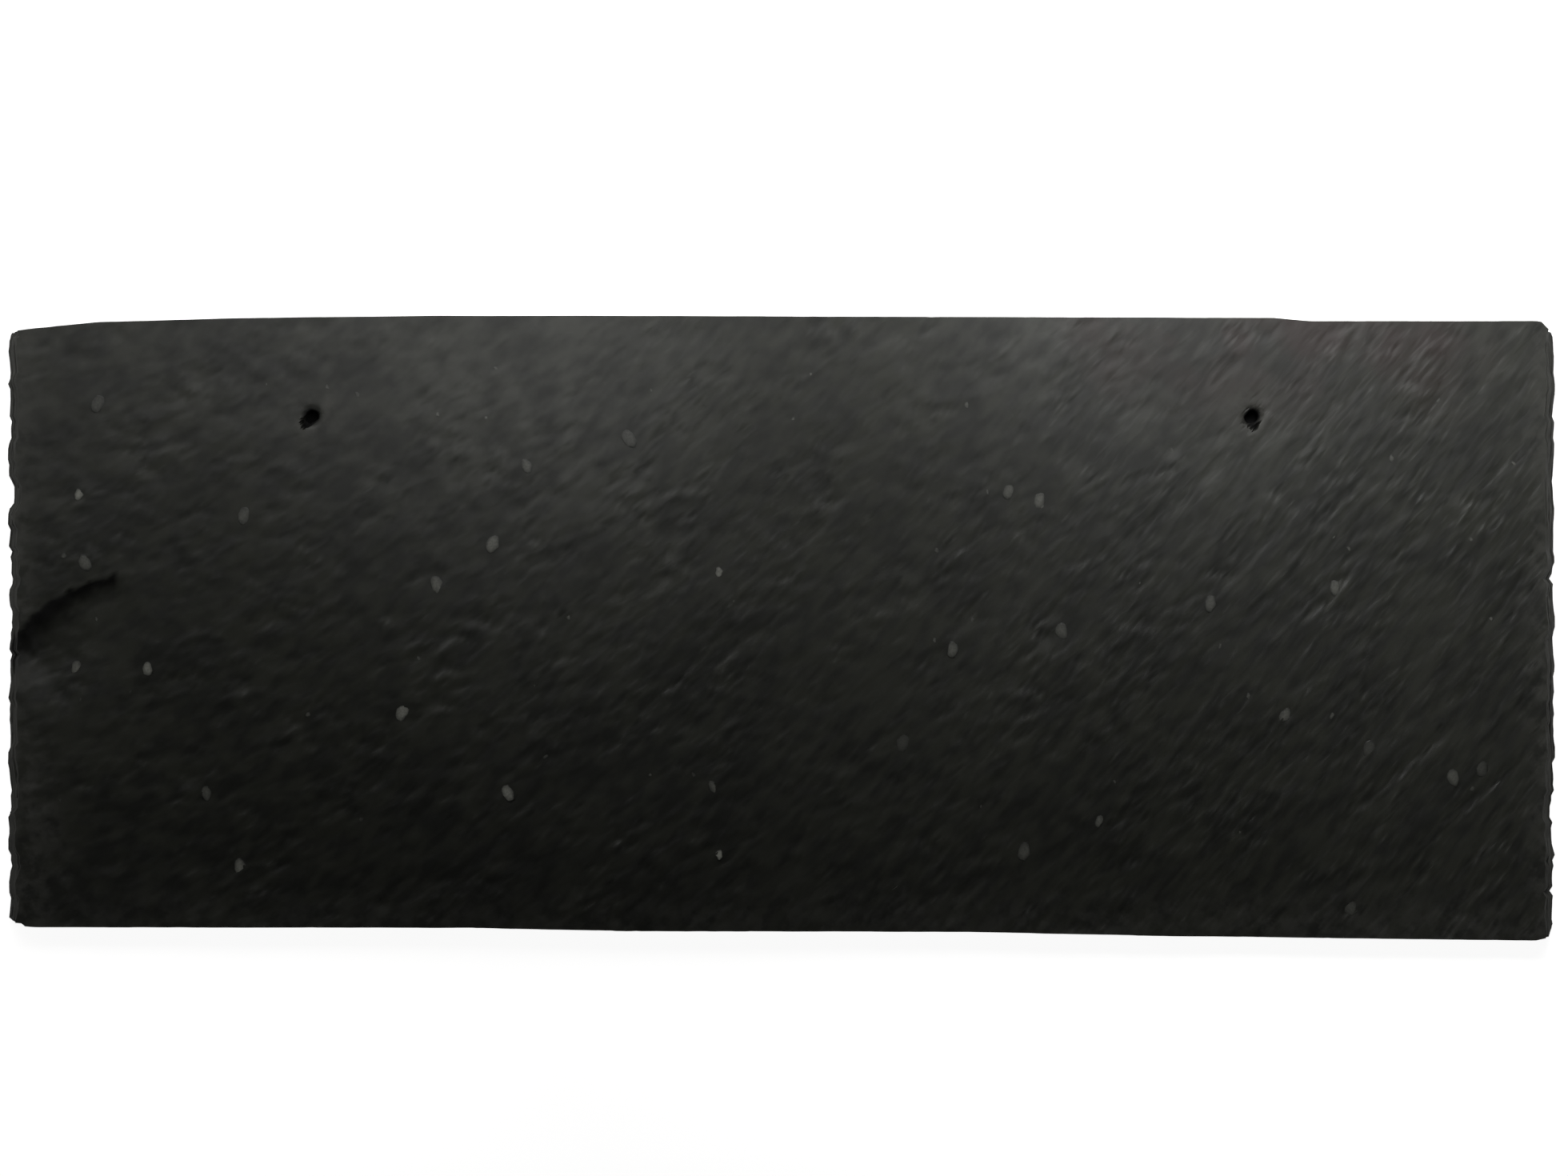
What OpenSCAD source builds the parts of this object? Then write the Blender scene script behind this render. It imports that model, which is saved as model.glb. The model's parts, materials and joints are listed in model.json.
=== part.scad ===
// Natural slate roof tile for laying lengthways: a riven sheet of slate, cut straight along
// its head and tail, dressed with a knife at its two ends, and holed for two nails.
// Millimetres. The slate lies on its bed face: +Z is the weather face, +Y the head edge.
// The origin is the middle of the outline, on the bed face.

/* [Slate] */
// Length over the two dressed ends
slate_l = 500; // [380:1:610]
// Width from the highest point of the head edge to the lowest of the tail edge
slate_w = 201; // [160:1:310]
// Thickness of the split sheet
slate_t = 7; // [4:0.5:12]

/* [Head and tail edges] */
// How far the head edge falls away at its left corner
head_trim = 5; // [2:0.5:10]
// Length over which the head edge falls away
head_trim_run = 76; // [30:1:90]
// Length of the level crown that follows
head_crown_l = 46; // [10:1:60]
// How much lower the head edge is beyond its step, at the right
head_step = 1.7; // [0:0.1:4]
// Distance of that step from the right end
head_step_from_end = 80; // [20:1:100]
// Length over which the head edge steps down
head_step_run = 12; // [5:1:20]
// How much narrower the slate is at the left end than at the right, along its tail edge
tail_taper = 4.3; // [1.5:0.1:8]
// Length of the chip off the right corner of the head, along the head edge
corner_chip_l = 5.4; // [2:0.1:12]
// Length of the same chip down the end
corner_chip_w = 7.2; // [2:0.1:12]
// Length of the break off the right corner of the tail, along the tail edge
tail_break_l = 7.5; // [2:0.5:12]
// Length of the same break up the end
tail_break_w = 6; // [2:0.5:12]
// Length of the worn left corner of the tail, along the tail edge
worn_corner_l = 6.5; // [2:0.5:12]
// Length of the same wear up the end
worn_corner_w = 2.5; // [1:0.5:8]

/* [Dressed ends] */
// Spacing of the knife's blows along an end
blow_pitch = 7; // [5:0.5:15]
// Least depth of a blow
blow_min = 0.15; // [0.1:0.05:0.5]
// Greatest depth of a blow
blow_max = 1.25; // [0.6:0.05:2]
// Lean of the broken edge from upright, towards the weather face
blow_lean = 28; // [10:1:45]
// How far a blow may turn from square
blow_yaw = 7; // [0:1:12]
// Height of the blow's foot above the bed face
blow_foot = 1.1; // [0.5:0.1:2]
// Depth of the three deeper bites at the ends
bite_depth = 2.4; // [1:0.1:4]
// Radius of the hollow that a deeper bite leaves
bite_r = 5; // [4:0.5:8]

/* [Nail holes] */
// Diameter of a punched hole, for a slate nail with a 3 mm shank
nail_hole_d = 4.5; // [3:0.1:7]
// Distance of each hole from its own end of the slate
nail_hole_from_end = 98.75; // [30:0.25:130]
// Distance of the holes below the highest point of the head edge
nail_hole_from_head = 32.5; // [20:0.5:60]
// Diameter of the break-out round a hole, on the weather face
spall_d = 12; // [8:0.5:16]
// Depth of the break-out
spall_depth = 1.4; // [0.5:0.1:2.5]

/* [Flake scar] */
// Length of the scar that runs in from the left end
scar_l = 38; // [15:1:60]
// Depth of the scar at the end of the slate
scar_depth = 1.5; // [0.5:0.1:2.5]
// Radius of the scar's hollow
scar_r = 8; // [5:0.5:15]
// Turn of the scar from the slate's length
scar_turn = 32; // [0:1:60]
// Place of the scar's mouth, above or below the middle of the left end
scar_y = -5; // [-30:1:30]

/* [Hidden] */
$fn = 48;

slate_grey = [0.13, 0.13, 0.125];
half_l = slate_l / 2;
half_w = slate_w / 2;
hole_x = half_l - nail_hole_from_end;
hole_y = half_w - nail_hole_from_head;

// The head edge reaches its crown this far from the left end.
crown_start = 1.8 * head_trim_run;

// Cuts run this far past a face.
over = 1;
// The blow blocks overlap by this share of their pitch, so that no fin is left between two.
blow_overlap = 1.25;
blow_reach = 3 * slate_t;
blows = ceil(slate_w / blow_pitch);

// Seeds of the blows' depths and turns, one for each end.
left_seed = 11;
right_seed = 47;

// End of the slate (-1 left, 1 right) and height along it, for each deeper bite.
bites = [[-1, 28], [1, 20], [1, -66]];

// The head edge, from left to right. It rises from the trimmed corner, runs level and steps down.
head_line = [
    [-half_l, half_w - head_trim],
    [-half_l + 0.4 * head_trim_run, half_w - 0.4 * head_trim],
    [-half_l + head_trim_run, half_w - 0.15 * head_trim],
    [-half_l + crown_start, half_w],
    [-half_l + crown_start + head_crown_l, half_w],
    [half_l - head_step_from_end - head_step_run, half_w - 0.4 * head_step],
    [half_l - head_step_from_end, half_w - head_step],
    [half_l - corner_chip_l, half_w - head_step]
];

// The right end, downwards, from the chipped corner to the small break at the tail.
right_line = [
    [half_l - 0.25 * corner_chip_l, half_w - head_step - 0.45 * corner_chip_w],
    [half_l, half_w - head_step - corner_chip_w],
    [half_l, tail_break_w - half_w],
    [half_l - 0.35 * tail_break_l, 0.15 * tail_break_w - half_w],
    [half_l - tail_break_l, -half_w]
];

// The tail edge, from right to left. It climbs in two shallow steps.
tail_line = [
    [0.48 * half_l, 0.35 * tail_taper - half_w],
    [0.24 * half_l, 0.65 * tail_taper - half_w],
    [-0.2 * half_l, 0.7 * tail_taper - half_w],
    [-0.4 * half_l, 0.95 * tail_taper - half_w],
    [worn_corner_l - half_l, tail_taper - half_w],
    [-half_l, worn_corner_w + tail_taper - half_w]
];

module sheet() {
    linear_extrude(height = slate_t)
        polygon(concat(head_line, right_line, tail_line));
}

// The waste that one blow breaks off the right end.
module blow(y, depth, yaw) {
    translate([half_l - depth, y, blow_foot])
        rotate([0, -blow_lean, yaw])
            translate([0, -blow_overlap * blow_pitch / 2, -blow_reach / 2])
                cube([blow_reach, blow_overlap * blow_pitch, blow_reach]);
}

// All the blows along the right end. The left end is a mirror image with its own seed.
module end_waste(seed) {
    depths = rands(blow_min, blow_max, blows, seed);
    yaws = rands(-blow_yaw, blow_yaw, blows, seed + 1);
    for (i = [0 : blows - 1])
        blow((i + 0.5) * blow_pitch - half_w, depths[i], yaws[i]);
}

// A shell-shaped bite out of the weather face's edge.
module bite(end, y) {
    translate([end * (half_l - bite_depth + bite_r), y, slate_t])
        sphere(r = bite_r);
}

module nail_hole() {
    translate([0, 0, -over])
        cylinder(h = slate_t + 2 * over, d = nail_hole_d);
    translate([0, 0, slate_t - spall_depth])
        cylinder(h = spall_depth + over, d1 = nail_hole_d,
                 d2 = spall_d + (spall_d - nail_hole_d) * over / spall_depth);
}

// A long round gouge, deepest at the left end, that runs out on the weather face.
module flake_scar() {
    rise = atan(scar_depth / scar_l);
    lead_in = 2 * scar_r;
    translate([-half_l, scar_y, slate_t])
        rotate([0, 0, scar_turn])
            translate([0, 0, scar_r - scar_depth])
                rotate([0, 90 - rise, 0])
                    translate([0, 0, -lead_in])
                        cylinder(h = lead_in + 1.3 * scar_l, r = scar_r);
}

module slate() {
    color(slate_grey)
        difference() {
            sheet();
            end_waste(right_seed);
            mirror([1, 0, 0])
                end_waste(left_seed);
            for (b = bites)
                bite(b[0], b[1]);
            for (side = [-1, 1])
                translate([side * hole_x, hole_y, 0])
                    nail_hole();
            flake_scar();
        }
}

slate();
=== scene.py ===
import json
import math
from functools import partial

import bmesh
import bpy
import numpy as np
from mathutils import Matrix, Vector
from mathutils.bvhtree import BVHTree
from mathutils.geometry import delaunay_2d_cdt


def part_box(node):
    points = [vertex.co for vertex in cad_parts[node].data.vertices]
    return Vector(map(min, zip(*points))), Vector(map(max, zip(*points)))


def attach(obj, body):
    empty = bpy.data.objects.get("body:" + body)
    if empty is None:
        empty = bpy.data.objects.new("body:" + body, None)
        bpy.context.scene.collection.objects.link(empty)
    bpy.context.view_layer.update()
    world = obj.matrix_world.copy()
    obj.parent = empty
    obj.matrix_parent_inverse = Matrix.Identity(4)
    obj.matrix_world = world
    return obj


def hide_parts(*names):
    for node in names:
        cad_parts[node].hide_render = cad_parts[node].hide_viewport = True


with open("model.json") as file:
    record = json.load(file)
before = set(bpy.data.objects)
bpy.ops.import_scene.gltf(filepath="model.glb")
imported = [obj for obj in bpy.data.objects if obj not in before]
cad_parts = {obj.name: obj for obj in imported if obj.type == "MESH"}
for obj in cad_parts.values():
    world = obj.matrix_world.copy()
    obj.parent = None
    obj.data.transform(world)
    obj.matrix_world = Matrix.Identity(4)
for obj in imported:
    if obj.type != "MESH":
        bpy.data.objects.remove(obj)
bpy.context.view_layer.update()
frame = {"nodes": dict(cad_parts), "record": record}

bl_info = {
    "name": "Riven slate roof tile",
    "version": (1, 0, 0),
    "blender": (4, 5, 0),
    "location": "3D View > Sidebar > Slate",
    "description": "A riven, holed and dressed slate roof tile, its mineral flecks and a pale stage",
    "category": "Add Mesh",
}

MM = 0.001
NODE = "slate"
BODY = "root"

LOW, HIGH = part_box(NODE)
THICKNESS = HIGH.z - LOW.z
NAIL_HOLES = [m for m in frame["record"]["mounts"] if m["kind"] == "bore"]

# The grain is where the cleavage meets the riven face. It climbs to the right, and grows
# steeper on the way: its height is SLOPE * x + BEND * x * x.
GRAIN_SLOPE = 0.73
GRAIN_BEND = 0.7

# Heights at which the CAD slate's edge is felt. All lie below the flake scar's floor, and the
# edge above them goes on at the same lean.
FELT_HEIGHTS = (0.3 * MM, 1.6 * MM, 3.2 * MM, 5.2 * MM)
FEELER = 12 * MM
# Length of edge over which the feelers turn round a corner.
CORNER_TURN = 14 * MM

# Direction in which the punch tore each nail hole's throat away, in degrees from +X.
NOTCH_TURNS = (-130, -72)

# Points round each nail hole, the evenly spaced collars of points outside it, and the levels of
# the points up its wall, as shares of the thickness.
BORE_POINTS = 40
COLLARS = 8
COLLAR_STEP = 0.6 * MM
BORE_LEVELS = (0.2, 0.4, 0.6, 0.8)

# Boundaries of the laminae that show on a broken edge, as shares of the thickness.
LAMINA_LEVELS = (0.0, 0.12, 0.27, 0.4, 0.56, 0.7, 0.86, 1.0)

# Long edges left by flakes: start and end in millimetres, then the drop at either end, the
# width of its wall at either end, the width over which the lower side runs out level, and how
# far the line bows. The ground drops on the right of the line. The first is the flake scar.
FLAKE_EDGES = (
    ((-249, -5), (-216, 16.5), (2.8, 1.0), (14, 4.5), 30, 4),
    ((12, 15), (-20, -12), (0.1, 0.14), (2.0, 2.2), 14, 1),
    ((-26, -12), (-56, -42), (0.24, 0.32), (1.8, 1.8), 9, -1),
    ((213, -36), (185, -60), (0.3, 0.34), (1.5, 1.5), 4, 0),
    ((237, -46), (214, -64), (0.26, 0.26), (1.5, 1.5), 4, 0),
    ((203, -31), (182, -50), (0.1, 0.14), (1.5, 1.5), 4, 0),
    ((180, 40), (152, 8), (0.1, 0.07), (1.6, 1.6), 5, 1),
    ((168, 40), (142, 12), (0.06, 0.1), (1.6, 1.6), 5, 1),
)

# The red bloom: its middle along the slate, where it starts below the head, and half its length.
BLOOM_AT = Vector((160, 62, 0)) * MM
BLOOM_REACH = 75 * MM

# Broad patches that split more or less smoothly: middle, reach and change of the roughness.
SMOOTH_PATCHES = (
    ((-165, -28), 95, -0.06),
    ((130, -64), 85, -0.06),
    ((-195, 45), 45, -0.04),
    ((138, 70), 40, 0.05),
    ((243, 90), 60, 0.07),
)

# Mineral flecks: place in millimetres, then size and brightness as shares of the usual.
FLECKS = (
    (-226, 43, 1.2, 0.45),
    (-173, 36, 1.6, 0.15),
    (-93, 27, 1.6, 0.25),
    (-224, 21, 1.6, 0.20),
    (-20, 18, 1.0, 0.40),
    (-111, 14, 1.7, 0.25),
    (178, 13, 1.4, 0.20),
    (138, 8, 1.5, 0.15),
    (90, -1, 1.6, 0.15),
    (55, -7, 1.5, 0.20),
    (-227, -13, 1.4, 0.30),
    (-204, -13, 1.3, 0.45),
    (-122, -27, 1.7, 0.45),
    (162, -28, 1.4, 0.20),
    (39, -37, 1.7, 0.10),
    (189, -39, 1.6, 0.10),
    (216, -48, 1.6, 0.20),
    (225, -45, 1.6, 0.10),
    (-88, -53, 1.6, 0.55),
    (-22, -51, 1.1, 0.25),
    (-185, -53, 1.4, 0.20),
    (102, -62, 1.1, 0.25),
    (78, -72, 1.6, 0.20),
    (-20, -73, 0.9, 0.95),
    (-174, -77, 1.6, 0.45),
    (183, -90, 1.7, 0.15),
    (-49, 61, 1.7, 0.10),
    (73, 44, 1.5, 0.15),
    (83, 41, 1.5, 0.20),
    (-220, 72, 1.6, 0.10),
    (-82, 52, 1.4, 0.15),
)


# The kinds of node used most.
MATH = "ShaderNodeMath"
VECTOR_MATH = "ShaderNodeVectorMath"
RANGE = "ShaderNodeMapRange"
NOISE = "ShaderNodeTexNoise"


def linear(hex_colour):
    """The linear red, green, blue and alpha of an sRGB hex colour."""
    parts = [int(hex_colour[i : i + 2], 16) / 255 for i in (1, 3, 5)]
    curve = [c / 12.92 if c <= 0.04045 else ((c + 0.055) / 1.055) ** 2.4 for c in parts]
    return (*curve, 1.0)


def metres(name, default, description):
    """A property for a length."""
    return bpy.props.FloatProperty(
        name=name, default=default, subtype="DISTANCE", description=description
    )


def shade(name, hex_colour, description):
    """A property for a colour."""
    default = linear(hex_colour)
    return bpy.props.FloatVectorProperty(
        name=name, default=default, size=4, subtype="COLOR", description=description
    )


def add_node(tree, kind, inputs=(), operation=None, **settings):
    """Adds a node, sets its properties, and sets its inputs or links them to other nodes."""
    node = tree.nodes.new(kind)
    node.location.x = 180 * len(tree.nodes)
    if operation:
        node.operation = operation
    for name, value in settings.items():
        setattr(node, name, value)
    pairs = inputs.items() if isinstance(inputs, dict) else enumerate(inputs)
    for key, value in pairs:
        if isinstance(value, bpy.types.Node):
            value = value.outputs[0]
        if isinstance(value, bpy.types.NodeSocket):
            tree.links.new(value, node.inputs[key])
        elif value is not None:
            node.inputs[key].default_value = value
    return node


class SlateSizes(bpy.types.PropertyGroup):
    """Sizes of the riven slate's relief and of its mesh."""

    swell_height: metres("Swell height", 0.22 * MM, "How far the face swells above and below its mean")
    swell_size: metres("Swell size", 55 * MM, "Distance from one swell to the next")
    grain_height: metres("Grain height", 0.6 * MM, "Height of the ridges that the cleavage leaves")
    grain_width: metres("Grain width", 3.6 * MM, "Distance across from one ridge to the next")
    grain_length: metres("Grain length", 4.4 * MM, "Length of a short ridge")
    lump_height: metres("Lump height", 0.85 * MM, "Height of the low round lumps")
    lump_size: metres("Lump size", 6.5 * MM, "Width of a lump")
    streak_height: metres("Streak height", 0.08 * MM, "Height of the long streaks at the right end")
    streak_length: metres("Streak length", 9 * MM, "Length of a long streak")
    flake_step: metres("Flake step", 0.11 * MM, "Height of the step from one thin flake down to the next")
    flake_width: metres("Flake width", 34 * MM, "Usual width of a flake, across the grain")
    fleck: bpy.props.FloatVectorProperty(
        name="Fleck", default=(2.5 * MM, 3.8 * MM, 0.18 * MM), size=3, unit="LENGTH",
        description="Width, length and height of a usual mineral fleck",
    )
    small_flecks: bpy.props.IntProperty(
        name="Small flecks", default=46,
        description="Number of tiny flecks scattered between the larger ones",
    )
    mean_drop: metres("Mean drop", 0.5 * MM, "How far the face's mean lies below its highest points")
    end_break: metres("End break", 1.0 * MM, "How far a lamina may be broken back at a dressed end")
    nibble: metres(
        "Nibble", 1.1 * MM, "Greatest depth of the nibbles that the knife leaves in a dressed end"
    )
    side_break: metres(
        "Side break", 0.14 * MM, "How far a lamina may be broken back at the head or the tail"
    )
    station: metres("Edge station", 1.6 * MM, "Distance between the mesh's points along the edge")
    weather_mesh: bpy.props.FloatVectorProperty(
        name="Weather face's mesh", default=(2.0 * MM, 0.8 * MM), size=2, unit="LENGTH",
        description="Distance between the weather face's points, along the slate and across the grain",
    )
    bed_mesh: bpy.props.FloatVectorProperty(
        name="Bed face's mesh", default=(3.4 * MM, 2.1 * MM), size=2, unit="LENGTH",
        description="Distance between the bed face's points, along the slate and across the grain",
    )
    seed: bpy.props.IntProperty(
        name="Seed", default=7,
        description="Seed of everything random in the slate",
    )


class SlateColours(bpy.types.PropertyGroup):
    """Colours of the slate and its minerals."""

    body: shade("Slate", "#21221e", "Colour of the riven slate")
    pale: shade("Pale laminae", "#34352f", "Colour of the paler laminae and clouds")
    bloom: shade("Iron bloom", "#312a27", "Faint red of the patches near the head edge")
    # This colour also paints a highlight on the break-out facets round the nail holes.
    dust: shade("Slate dust", "#42423d", "Colour of the dust that dressing and punching leave")
    # Painted shade: the torn walls and the nail holes' notches are painted this dark.
    painted_shade: shade("Painted shade on torn walls", "#0b0b0a", "Colour of the painted shade on the walls that tear across the laminae")
    fleck: shade("Mineral fleck", "#a3a49a", "Colour of the brightest mineral flecks")


class StageSizes(bpy.types.PropertyGroup):
    """Sizes of the stage, its lights and its camera."""

    floor_size: metres("Floor", 30.0, "Side of the floor")
    floor_glow: bpy.props.FloatProperty(
        name="Floor glow", default=0.92,
        description="Brightness of the floor and the backdrop to the eye",
    )
    wall_glow: bpy.props.FloatProperty(
        name="Wall glow", default=0.95,
        description="Brightness of the pale walls all round, at the height of the floor",
    )
    key_power: bpy.props.FloatProperty(
        name="Key light", default=4.3, unit="POWER",
        description="Power of the softbox on the head side",
    )
    second_power: bpy.props.FloatProperty(
        name="Second light", default=2.05, unit="POWER",
        description="Power of the softbox beside it",
    )
    lens: bpy.props.FloatProperty(
        name="Lens", default=85.0, unit="CAMERA",
        description="Focal length of the camera",
    )
    camera_height: metres("Camera height", 1.19, "Height of the camera above the weather face")


def grain_across(x, y):
    """Distance across the grain, from the grain line through the middle of the slate."""
    return y - GRAIN_SLOPE * x - GRAIN_BEND * x * x


def outline_at(height):
    """The outer loop in which a level plane cuts the CAD slate, anticlockwise."""
    cut = bmesh.new()
    cut.from_mesh(frame["nodes"][NODE].data)
    bmesh.ops.remove_doubles(cut, verts=cut.verts, dist=0.001 * MM)
    whole = cut.verts[:] + cut.edges[:] + cut.faces[:]
    plane = {"plane_co": (0, 0, height), "plane_no": (0, 0, 1)}
    bmesh.ops.bisect_plane(cut, geom=whole, **plane, clear_inner=True, clear_outer=True)
    loops = []
    used = set()
    for vert in cut.verts:
        walk = []
        while vert not in used:
            used.add(vert)
            walk.append(vert.co.xy)
            beyond = [e.other_vert(vert) for e in vert.link_edges]
            vert = next((v for v in beyond if v not in used), vert)
        if len(walk) > 2:
            loops.append(np.array(walk))
    cut.free()
    outer = max(loops, key=lambda loop: abs(signed_area(loop)))
    return outer if signed_area(outer) > 0 else outer[::-1]


def signed_area(loop):
    """Area of a closed loop, positive if it runs anticlockwise."""
    ahead = np.roll(loop, -1, 0)
    return 0.5 * float(np.sum(loop[:, 0] * ahead[:, 1] - ahead[:, 0] * loop[:, 1]))


def stations_round(loop, spacing):
    """The sharp corners of a closed loop, with even steps between them."""
    first = int(np.argmin(loop.sum(1)))
    loop = np.roll(loop, -first, 0)
    ahead = np.roll(loop, -1, 0) - loop
    behind = loop - np.roll(loop, 1, 0)
    turn = np.arctan2(ahead[:, 1], ahead[:, 0]) - np.arctan2(behind[:, 1], behind[:, 0])
    turn = np.abs((turn + math.pi) % (2 * math.pi) - math.pi)
    corners = np.flatnonzero(turn > math.radians(20))
    closed = np.vstack([loop, loop])
    points = []
    for start, stop in zip(corners, [*corners[1:], corners[0] + len(loop)]):
        run = closed[start : stop + 1]
        length = np.concatenate([[0], np.cumsum(np.hypot(*np.diff(run, axis=0).T))])
        steps = max(1, round(length[-1] / spacing))
        at = np.arange(steps) * length[-1] / steps
        points.append(np.column_stack([np.interp(at, length, c) for c in run.T]))
    return np.vstack(points)


def outward(points):
    """Unit directions out of the slate, square to its sides and turned gradually at its corners."""
    half = np.array([HIGH.x, HIGH.y])
    away = np.sign(points) * ease((np.abs(points) - half + CORNER_TURN) / CORNER_TURN)
    return away / np.hypot(*away.T)[:, None]


def forward_only(points, normals, least):
    """The stations that advance round the loop by a least distance, without doubling back."""
    kept = [0]
    for i in range(1, len(points)):
        forward = np.array([-normals[i, 1], normals[i, 0]])
        if np.dot(points[i] - points[kept[-1]], forward) >= least:
            kept.append(i)
    return points[kept], normals[kept]


def feel_edge(points, normals):
    """How far the CAD slate's edge lies inside each station, at each felt height."""
    mesh = frame["nodes"][NODE].data
    corners = [v.co for v in mesh.vertices]
    solid = BVHTree.FromPolygons(corners, [tuple(p.vertices) for p in mesh.polygons])
    insets = np.zeros((len(FELT_HEIGHTS), len(points)))
    for row, height in enumerate(FELT_HEIGHTS):
        for i, (point, normal) in enumerate(zip(points, normals)):
            start = Vector((*(point + FEELER * normal), height))
            hit = solid.ray_cast(start, Vector((*-normal, 0)))
            if hit[0] is None:
                raise RuntimeError(f"the feeler missed the slate's edge at {point}")
            insets[row, i] = hit[3] - FEELER
    return np.maximum(insets, 0)


def inset_at(insets, heights):
    """The felt insets at one height for each station; the top lean goes on upwards."""
    felt = np.array(FELT_HEIGHTS)
    lean = (insets[-1] - insets[-2]) / (felt[-1] - felt[-2])
    beyond = insets[-1] + np.clip(lean, 0, 0.7) * (heights - felt[-1])
    within = [np.interp(h, felt, column) for h, column in zip(heights, insets.T)]
    return np.where(heights > felt[-1], beyond, within)


def smooth_noise(length, pitch, rng):
    """Seeded noise from 0 to 1 along a closed loop, smooth over the pitch."""
    knots = max(4, round(length[-1] / pitch))
    values = rng.random(knots)
    values = np.append(values, values[0])
    at = length / length[-1] * knots
    low = np.minimum(at.astype(int), knots - 1)
    share = at - low
    share = share * share * (3 - 2 * share)
    return values[low] * (1 - share) + values[low + 1] * share


def chip_noise(length, pitch, rng):
    """Seeded noise from 0 to 1 along a closed loop that jumps from chip to chip."""
    count = max(4, round(length[-1] / pitch))
    starts = np.sort(rng.random(count)) * length[-1]
    values = rng.random(count + 1)
    values[-1] = values[0]
    return values[np.searchsorted(starts, length)]


def inside(points, loop):
    """Whether each point lies inside a closed loop."""
    ahead = np.roll(loop, -1, 0)
    x, y = points[:, :1], points[:, 1:]
    spans = (loop[:, 1] > y) != (ahead[:, 1] > y)
    rise = np.where(ahead[:, 1] == loop[:, 1], 1, ahead[:, 1] - loop[:, 1])
    cross = loop[:, 0] + (y - loop[:, 1]) * (ahead[:, 0] - loop[:, 0]) / rise
    return np.sum(spans & (x < cross), 1) % 2 == 1


def grain_lattice(loop, spacing, clear, rng):
    """Points inside a loop, in columns along the slate and in rows that follow the grain."""
    along, across = spacing
    columns = np.arange(loop[:, 0].min(), loop[:, 0].max(), along)
    reach = np.ptp(loop[:, 1]) + abs(GRAIN_SLOPE) * np.ptp(loop[:, 0])
    rows = np.arange(-reach, reach, across)
    x = np.repeat(columns, len(rows))
    half_step = np.repeat(np.arange(len(columns)) % 2, len(rows)) * across / 2
    y = np.tile(rows, len(columns)) + half_step
    y = y + GRAIN_SLOPE * x + GRAIN_BEND * x * x
    keep = (y > loop[:, 1].min()) & (y < loop[:, 1].max())
    points = np.column_stack([x[keep], y[keep]])
    points += (rng.random(points.shape) - 0.5) * (0.3 * along, 0.3 * across)
    # Only the points near the rim need to be held against the loop.
    middle, half = loop.mean(0), np.ptp(loop, axis=0) / 2
    near = (half - np.abs(points - middle) < (10 * MM, 12 * MM)).any(1)
    rim = points[near]
    gap = np.hypot(rim[:, :1] - loop[:, 0], rim[:, 1:] - loop[:, 1]).min(1)
    rim = rim[inside(rim, loop) & (gap > clear)]
    return np.vstack([points[~near], rim])


def bore_ring(centre, radius, turn=0.0):
    """Points on a circle, or on a ragged ring if the radius varies, anticlockwise."""
    angle = 2 * math.pi * (np.arange(BORE_POINTS) + turn) / BORE_POINTS
    spokes = np.column_stack([np.cos(angle), np.sin(angle)])
    return np.array(centre) + spokes * np.reshape(radius, (-1, 1))


def fill(loops, points, spacing):
    """All the points, and the triangles between them that fill the first loop round the others."""
    flat = np.vstack([*loops, points])
    scaled = np.column_stack([flat[:, 0], grain_across(*flat.T)]) / np.array(spacing)
    edges = []
    rings = []
    start = 0
    for loop in loops:
        ring = np.arange(start, start + len(loop))
        edges += list(zip(ring.tolist(), np.roll(ring, -1).tolist()))
        rings.append(scaled[ring])
        start += len(loop)
    made = delaunay_2d_cdt([Vector(p) for p in scaled], edges, [], 0, 1e-6)
    if len(made[0]) != len(flat):
        raise RuntimeError("the slate's face has points that fall together or edges that cross")
    faces = np.array(made[2])
    source = np.array([origin[0] for origin in made[3]])
    faces = source[faces]
    # What lies inside is judged in the scaled plane, because the bend of the grain would put a
    # long thin triangle on the wrong side of the outline.
    centres = scaled[faces].mean(1)
    keep = np.ones(len(faces), bool)
    border = (faces < start).all(1)
    keep[border] = inside(centres[border], rings[0])
    for ring in rings[1:]:
        keep[border] &= ~inside(centres[border], ring)
    faces = faces[keep]
    a, b, c = (scaled[faces[:, corner]] for corner in range(3))
    turned = np.cross(b - a, c - a) < 0
    faces[turned] = faces[turned][:, ::-1]
    return flat, faces


def ease(t):
    """Goes smoothly from 0 to 1 as t does."""
    t = np.clip(t, 0, 1)
    return t * t * (3 - 2 * t)


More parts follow.
